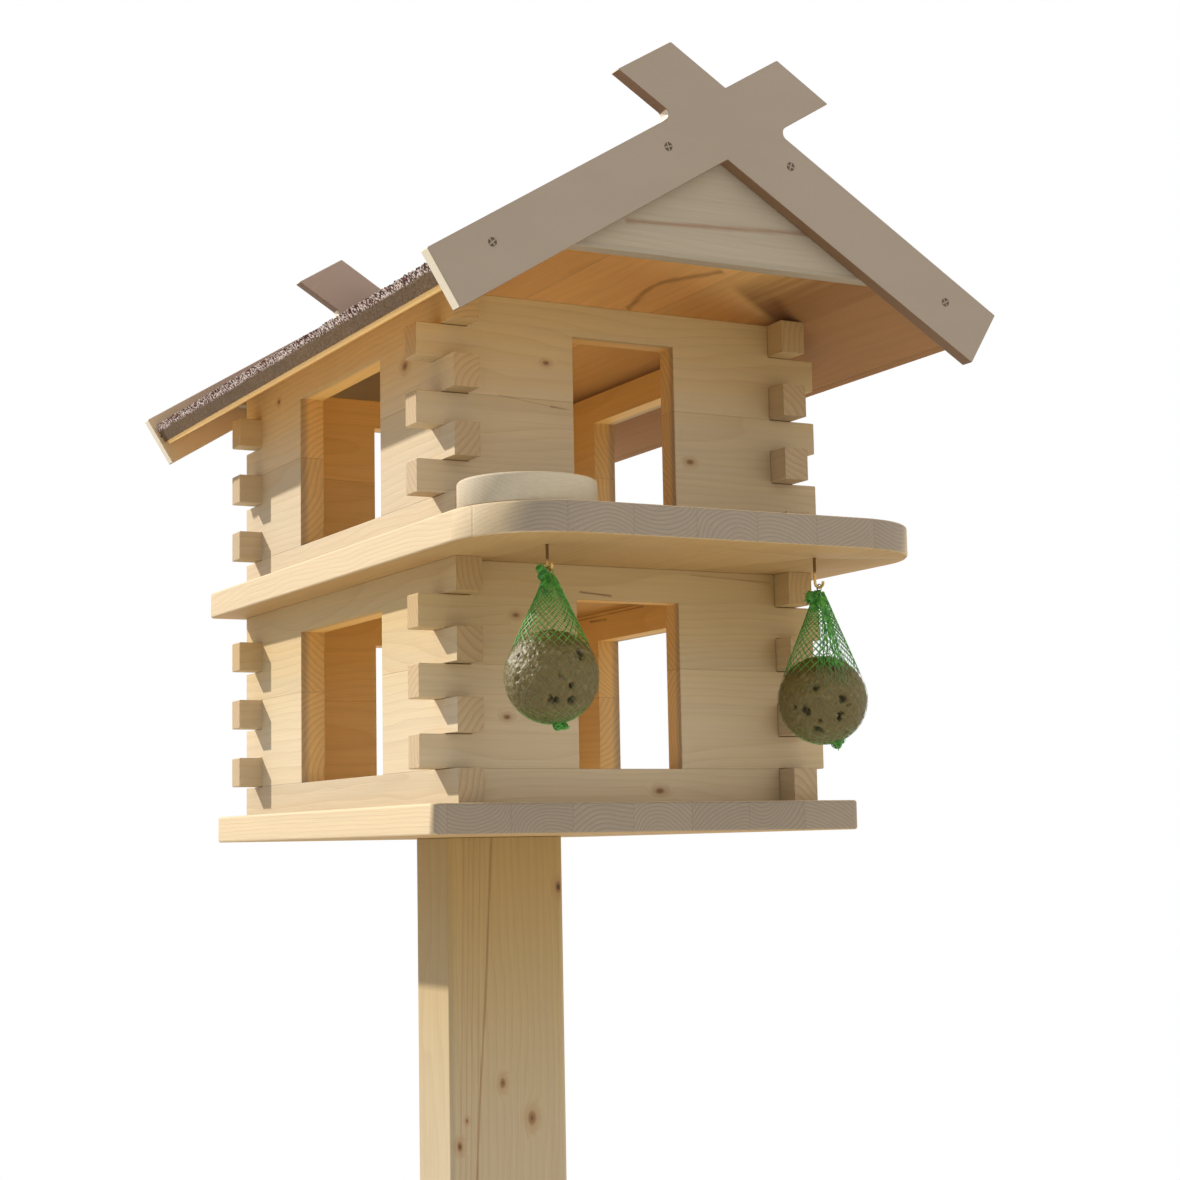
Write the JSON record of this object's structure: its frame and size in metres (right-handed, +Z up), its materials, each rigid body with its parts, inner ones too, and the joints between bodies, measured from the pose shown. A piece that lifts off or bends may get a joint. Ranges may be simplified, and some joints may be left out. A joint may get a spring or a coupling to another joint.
{
  "type": "bird feeder house",
  "caption": "Two-storey wooden bird feeder house on a post, with comb-jointed walls, a balcony, a felted gable roof and fat balls hanging on hooks.",
  "frame": {"origin": "middle of the post's foot, at ground level", "axes": "+Z up, the front with the balcony faces -Y, +X to the right seen from the front"},
  "size_m": [0.4044, 0.558, 1.6792],
  "materials": {
    "post_pine": "sawn softwood, natural",
    "plate_pine": "planed glued pine board",
    "wall_pine": "planed pine board",
    "roof_pine": "planed pine board",
    "gable_pine": "planed pine board",
    "barge_panel": "smooth pale panel",
    "dish_wood": "turned pine",
    "felt": "mineral roofing felt, red-brown",
    "brass_wire": "brass-plated wire",
    "fat_and_seed": "pressed fat with seeds",
    "net_green": "knitted plastic net"
  },
  "bodies": {
    "house": {"post": "post_pine", "base_plate": "plate_pine", "balcony_plate": "plate_pine", "lower_front_wall": "wall_pine", "lower_back_wall": "wall_pine", "lower_left_wall": "wall_pine", "lower_right_wall": "wall_pine", "upper_front_wall": "wall_pine", "upper_back_wall": "wall_pine", "upper_left_wall": "wall_pine", "upper_right_wall": "wall_pine", "roof_board_left": "roof_pine", "roof_board_right": "roof_pine", "roof_felt_left": "felt", "roof_felt_right": "felt", "ridge_felt": "felt", "front_gable_board": "gable_pine", "back_gable_board": "gable_pine", "front_barge_board": "barge_panel", "back_barge_board": "barge_panel", "feeding_dish": "dish_wood", "hook_left": "brass_wire", "hook_right": "brass_wire"},
    "left_ball": {"fat_ball_left": "fat_and_seed", "ball_net_left": "net_green"},
    "right_ball": {"fat_ball_right": "fat_and_seed", "ball_net_right": "net_green"}
  },
  "joints": [
    {"name": "left_ball_swing", "type": "hinge", "parent": "house", "child": "left_ball", "pos_m": [-0.1, -0.304, 1.3575], "axis": [1, 0, 0], "range_deg": [-25, 25]},
    {"name": "right_ball_swing", "type": "hinge", "parent": "house", "child": "right_ball", "pos_m": [0.094, -0.304, 1.3545], "axis": [1, 0, 0], "range_deg": [-25, 25]}
  ]
}
